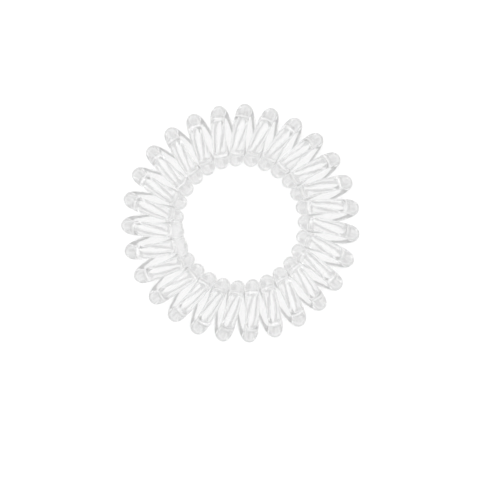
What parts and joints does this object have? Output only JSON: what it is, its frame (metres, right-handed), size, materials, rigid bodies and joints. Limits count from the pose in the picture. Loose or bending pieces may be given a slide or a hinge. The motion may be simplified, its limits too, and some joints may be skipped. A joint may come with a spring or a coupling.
{
  "type": "spiral hair tie",
  "caption": "Springy clear plastic cord wound as a spiral into a closed ring, which stretches round a ponytail to hold the hair.",
  "frame": {"origin": "centre of the ring, on the surface that the ring lies on", "axes": "+Z along the ring's axis, up from the surface; +X to the right and +Y up as the picture shows the ring"},
  "size_m": [0.0379, 0.038, 0.007],
  "materials": {
    "clear_plastic": "clear, smooth and glossy thermoplastic polyurethane"
  },
  "bodies": {
    "root": {"coil": "clear_plastic"}
  },
  "joints": []
}
